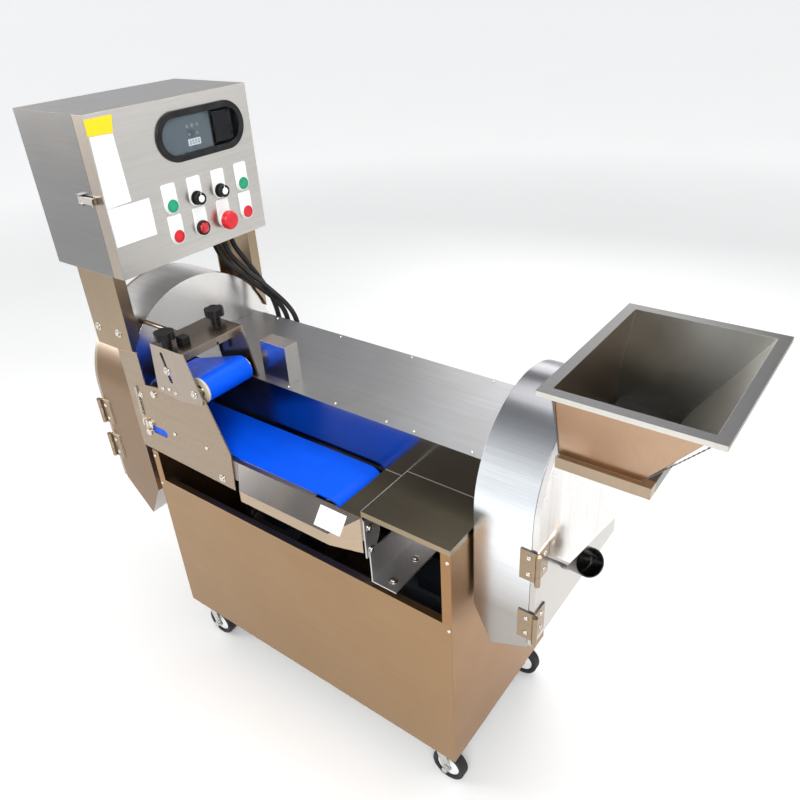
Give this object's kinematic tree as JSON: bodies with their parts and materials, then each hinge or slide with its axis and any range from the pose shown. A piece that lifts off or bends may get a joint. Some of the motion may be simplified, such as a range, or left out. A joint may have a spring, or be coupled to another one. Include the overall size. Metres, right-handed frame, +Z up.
{
  "type": "vegetable cutting machine",
  "caption": "Free-standing stainless vegetable cutting machine on castors, with a belt-fed knife head, a hopper-fed disc head, a press belt and a control box on a column.",
  "frame": {"origin": "on the floor, under the middle of the bounding box", "axes": "+X to the hopper end, +Y to the back, +Z up"},
  "size_m": [1.372, 0.457, 1.28],
  "materials": {
    "stainless": "brushed",
    "frame_tube": "satin",
    "belt_blue": "smooth food belt",
    "roller": "turned",
    "knife": "polished",
    "motor_paint": "satin paint",
    "vee_belt": "matt",
    "pulley_iron": "machined",
    "black_plastic": "moulded",
    "bezel_rubber": "satin",
    "clear_window": "clear",
    "display_module": "moulded",
    "green_plastic": "gloss",
    "red_plastic": "gloss",
    "cable_black": "matt",
    "castor_zinc": "zinc plated",
    "castor_wheel": "matt tread",
    "gear_plastic": "moulded"
  },
  "bodies": {
    "machine": {"base_frame": "frame_tube", "cabinet_front_panel": "stainless", "side_panels": "stainless", "cabinet_back_panel": "stainless", "conveyor_frame": "stainless", "conveyor_belt": "belt_blue", "top_cover": "stainless", "feed_table": "stainless", "front_trough": "stainless", "front_side_plate": "stainless", "press_bridge": "stainless", "drive_cover": "stainless", "tension_bracket": "stainless", "left_head_housing": "stainless", "right_head_housing": "stainless", "drive_motors": "motor_paint", "drive_belts": "vee_belt", "control_box_body": "stainless", "control_gear": "gear_plastic", "box_column": "stainless", "control_cables": "cable_black"},
    "conveyor_drive_roller": {"conveyor_drive_roller": "roller"},
    "conveyor_tail_roller": {"conveyor_tail_roller": "roller"},
    "press_unit": {"press_frame": "stainless", "press_belt": "belt_blue"},
    "press_drive_roller": {"press_drive_roller": "roller"},
    "press_nose_roller": {"press_nose_roller": "roller"},
    "star_knob_front": {"star_knob_front": "black_plastic"},
    "star_knob_back": {"star_knob_back": "black_plastic"},
    "left_cutter": {"left_knife_rotor": "knife", "left_knife_shaft": "pulley_iron"},
    "right_cutter": {"right_cutting_disc": "knife", "right_disc_shaft": "pulley_iron"},
    "left_motor_pulley": {"left_motor_pulley": "pulley_iron"},
    "right_motor_pulley": {"right_motor_pulley": "pulley_iron"},
    "left_door": {"left_door": "stainless"},
    "right_door": {"right_door": "stainless", "feed_chute": "stainless", "feed_tube": "stainless", "hopper": "stainless"},
    "control_door": {"control_door": "stainless", "window_bezel": "bezel_rubber", "window_glass": "clear_window", "panel_instruments": "display_module"},
    "box_latch": {"box_latch": "stainless"},
    "emergency_stop": {"emergency_stop": "red_plastic"},
    "start_button_left": {"start_button_left": "green_plastic"},
    "start_button_right": {"start_button_right": "green_plastic"},
    "stop_button_left": {"stop_button_left": "red_plastic"},
    "stop_button_right": {"stop_button_right": "red_plastic"},
    "speed_knob_left": {"speed_knob_left": "black_plastic"},
    "speed_knob_right": {"speed_knob_right": "black_plastic"},
    "castor_fork_front_left": {"castor_fork_front_left": "castor_zinc"},
    "castor_wheel_front_left": {"castor_wheel_front_left": "castor_wheel"},
    "castor_fork_front_right": {"castor_fork_front_right": "castor_zinc"},
    "castor_wheel_front_right": {"castor_wheel_front_right": "castor_wheel"},
    "castor_fork_rear_left": {"castor_fork_rear_left": "castor_zinc"},
    "castor_wheel_rear_left": {"castor_wheel_rear_left": "castor_wheel"},
    "castor_fork_rear_right": {"castor_fork_rear_right": "castor_zinc"},
    "castor_wheel_rear_right": {"castor_wheel_rear_right": "castor_wheel"}
  },
  "joints": [
    {"name": "conveyor_drive_spin", "type": "hinge", "parent": "machine", "child": "conveyor_drive_roller", "pos_m": [0.0517, -0.1275, 0.6267], "axis": [0, -1, 0], "continuous": true},
    {"name": "conveyor_tail_spin", "type": "hinge", "parent": "machine", "child": "conveyor_tail_roller", "pos_m": [-0.4647, -0.1275, 0.6267], "axis": [0, -1, 0], "continuous": true},
    {"name": "press_lift", "type": "hinge", "parent": "machine", "child": "press_unit", "pos_m": [-0.412, -0.1275, 0.738], "axis": [0, -1, 0], "range_deg": [0, 12]},
    {"name": "press_drive_spin", "type": "hinge", "parent": "machine", "child": "press_drive_roller", "pos_m": [-0.412, -0.1275, 0.738], "axis": [0, -1, 0], "continuous": true},
    {"name": "press_nose_spin", "type": "hinge", "parent": "press_unit", "child": "press_nose_roller", "pos_m": [-0.268, -0.1275, 0.783], "axis": [0, -1, 0], "continuous": true},
    {"name": "front_knob_turn", "type": "hinge", "parent": "machine", "child": "star_knob_front", "pos_m": [-0.337, -0.1915, 0.88], "axis": [0, 0, 1], "continuous": true},
    {"name": "back_knob_turn", "type": "hinge", "parent": "machine", "child": "star_knob_back", "pos_m": [-0.337, -0.0655, 0.88], "axis": [0, 0, 1], "continuous": true},
    {"name": "left_knife_spin", "type": "hinge", "parent": "machine", "child": "left_cutter", "pos_m": [-0.504, 0.0155, 0.69], "axis": [1, 0, 0], "continuous": true},
    {"name": "left_motor_spin", "type": "hinge", "parent": "machine", "child": "left_motor_pulley", "pos_m": [-0.504, 0.0155, 0.243], "axis": [1, 0, 0], "continuous": true},
    {"name": "right_disc_spin", "type": "hinge", "parent": "machine", "child": "right_cutter", "pos_m": [0.324, 0.0425, 0.713], "axis": [1, 0, 0], "continuous": true},
    {"name": "right_motor_spin", "type": "hinge", "parent": "machine", "child": "right_motor_pulley", "pos_m": [0.324, 0.0425, 0.243], "axis": [1, 0, 0], "continuous": true},
    {"name": "left_door_swing", "type": "hinge", "parent": "machine", "child": "left_door", "pos_m": [-0.6415, -0.2025, 0.6], "axis": [0, 0, 1], "range_deg": [0, 110]},
    {"name": "right_door_swing", "type": "hinge", "parent": "machine", "child": "right_door", "pos_m": [0.4455, -0.1405, 0.6], "axis": [0, 0, -1], "range_deg": [0, 110]},
    {"name": "control_door_swing", "type": "hinge", "parent": "machine", "child": "control_door", "pos_m": [-0.4888, 0.2216, 1.125], "axis": [0, 0, 1], "range_deg": [0, 110]},
    {"name": "box_latch_lever", "type": "hinge", "parent": "machine", "child": "box_latch", "pos_m": [-0.5272, -0.1785, 1.125], "axis": [0, 0, -1], "range_deg": [0, 110]},
    {"name": "emergency_stop_press", "type": "slide", "parent": "control_door", "child": "emergency_stop", "axis": [-1, 0, 0], "range_m": [0, 0.005]},
    {"name": "start_button_left_press", "type": "slide", "parent": "control_door", "child": "start_button_left", "axis": [-1, 0, 0], "range_m": [0, 0.004], "stiffness_N_per_m": 400},
    {"name": "start_button_right_press", "type": "slide", "parent": "control_door", "child": "start_button_right", "axis": [-1, 0, 0], "range_m": [0, 0.004], "stiffness_N_per_m": 400},
    {"name": "stop_button_left_press", "type": "slide", "parent": "control_door", "child": "stop_button_left", "axis": [-1, 0, 0], "range_m": [0, 0.004], "stiffness_N_per_m": 400},
    {"name": "stop_button_right_press", "type": "slide", "parent": "control_door", "child": "stop_button_right", "axis": [-1, 0, 0], "range_m": [0, 0.004], "stiffness_N_per_m": 400},
    {"name": "speed_knob_left_turn", "type": "hinge", "parent": "control_door", "child": "speed_knob_left", "pos_m": [-0.4564, 0.036, 1.082], "axis": [1, 0, 0], "range_deg": [-140, 140]},
    {"name": "speed_knob_right_turn", "type": "hinge", "parent": "control_door", "child": "speed_knob_right", "pos_m": [-0.4564, 0.1005, 1.082], "axis": [1, 0, 0], "range_deg": [-140, 140]},
    {"name": "castor_swivel_front_left", "type": "hinge", "parent": "machine", "child": "castor_fork_front_left", "pos_m": [-0.434, -0.1655, 0.1], "axis": [0, 0, 1], "continuous": true},
    {"name": "castor_roll_front_left", "type": "hinge", "parent": "castor_fork_front_left", "child": "castor_wheel_front_left", "pos_m": [-0.419, -0.1655, 0.0375], "axis": [0, 1, 0], "continuous": true},
    {"name": "castor_swivel_front_right", "type": "hinge", "parent": "machine", "child": "castor_fork_front_right", "pos_m": [0.27, -0.1655, 0.1], "axis": [0, 0, 1], "continuous": true},
    {"name": "castor_roll_front_right", "type": "hinge", "parent": "castor_fork_front_right", "child": "castor_wheel_front_right", "pos_m": [0.285, -0.1655, 0.0375], "axis": [0, 1, 0], "continuous": true},
    {"name": "castor_swivel_rear_left", "type": "hinge", "parent": "machine", "child": "castor_fork_rear_left", "pos_m": [-0.434, 0.1555, 0.1], "axis": [0, 0, 1], "continuous": true},
    {"name": "castor_roll_rear_left", "type": "hinge", "parent": "castor_fork_rear_left", "child": "castor_wheel_rear_left", "pos_m": [-0.419, 0.1555, 0.0375], "axis": [0, 1, 0], "continuous": true},
    {"name": "castor_swivel_rear_right", "type": "hinge", "parent": "machine", "child": "castor_fork_rear_right", "pos_m": [0.27, 0.1555, 0.1], "axis": [0, 0, 1], "continuous": true},
    {"name": "castor_roll_rear_right", "type": "hinge", "parent": "castor_fork_rear_right", "child": "castor_wheel_rear_right", "pos_m": [0.285, 0.1555, 0.0375], "axis": [0, 1, 0], "continuous": true}
  ],
  "couplings": [
    {"joint": "conveyor_tail_spin", "follows": "conveyor_drive_spin", "ratio": 1},
    {"joint": "press_drive_spin", "follows": "conveyor_drive_spin", "ratio": -1.0435},
    {"joint": "press_nose_spin", "follows": "conveyor_drive_spin", "ratio": -1.0435},
    {"joint": "left_motor_spin", "follows": "left_knife_spin", "ratio": 1.7037},
    {"joint": "right_motor_spin", "follows": "right_disc_spin", "ratio": 1}
  ]
}
